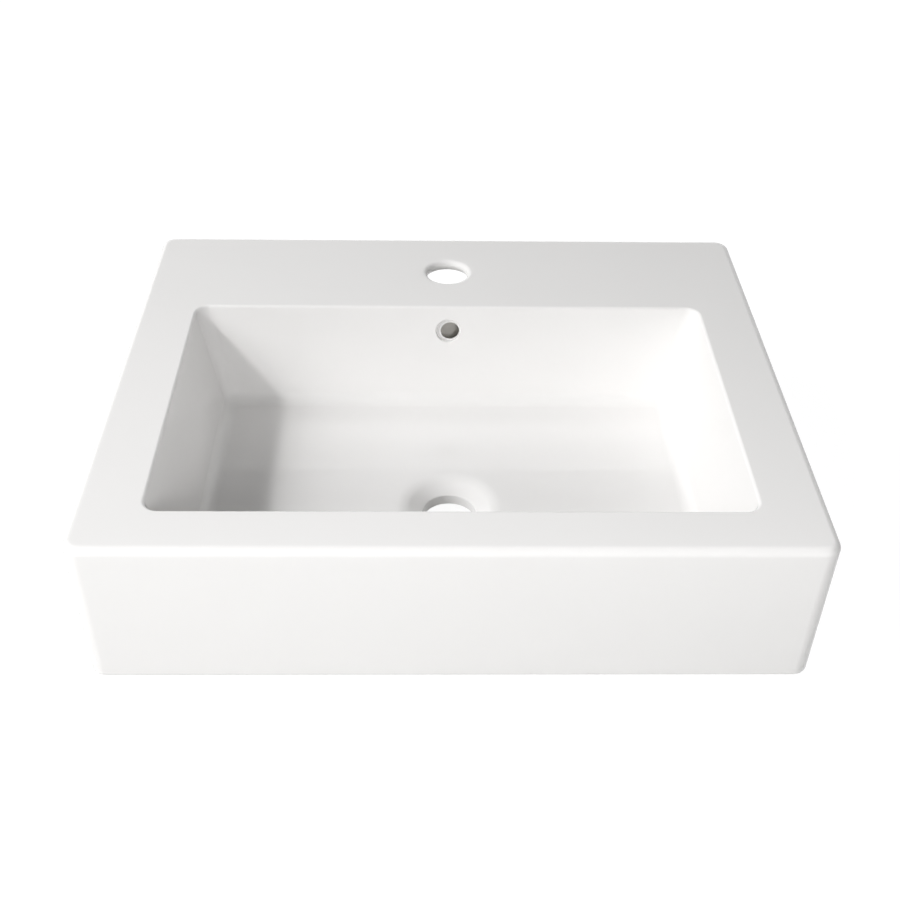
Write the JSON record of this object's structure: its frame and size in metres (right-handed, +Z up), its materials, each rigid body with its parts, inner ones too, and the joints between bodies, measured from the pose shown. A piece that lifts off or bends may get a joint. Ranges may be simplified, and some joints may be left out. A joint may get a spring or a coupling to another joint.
{
  "type": "countertop basin",
  "caption": "Rectangular white vitreous china countertop basin: flat rim, tap ledge with one tap hole, leaning bowl walls, overflow to a dished drain, open back.",
  "frame": {"origin": "middle of the footprint, on the counter", "axes": "+X to the right of someone who stands at the basin, +Y towards the back, +Z up"},
  "size_m": [0.52, 0.42, 0.124],
  "materials": {
    "white_glaze": "gloss white glaze",
    "bare_china": "unglazed fired clay"
  },
  "bodies": {
    "root": {"rim_deck": "white_glaze", "bowl": "white_glaze", "front_apron": "white_glaze", "left_apron": "white_glaze", "right_apron": "white_glaze", "back_rail": "white_glaze", "overflow_duct": "bare_china", "drain_collar": "bare_china", "left_gusset": "bare_china", "right_gusset": "bare_china"}
  },
  "joints": []
}
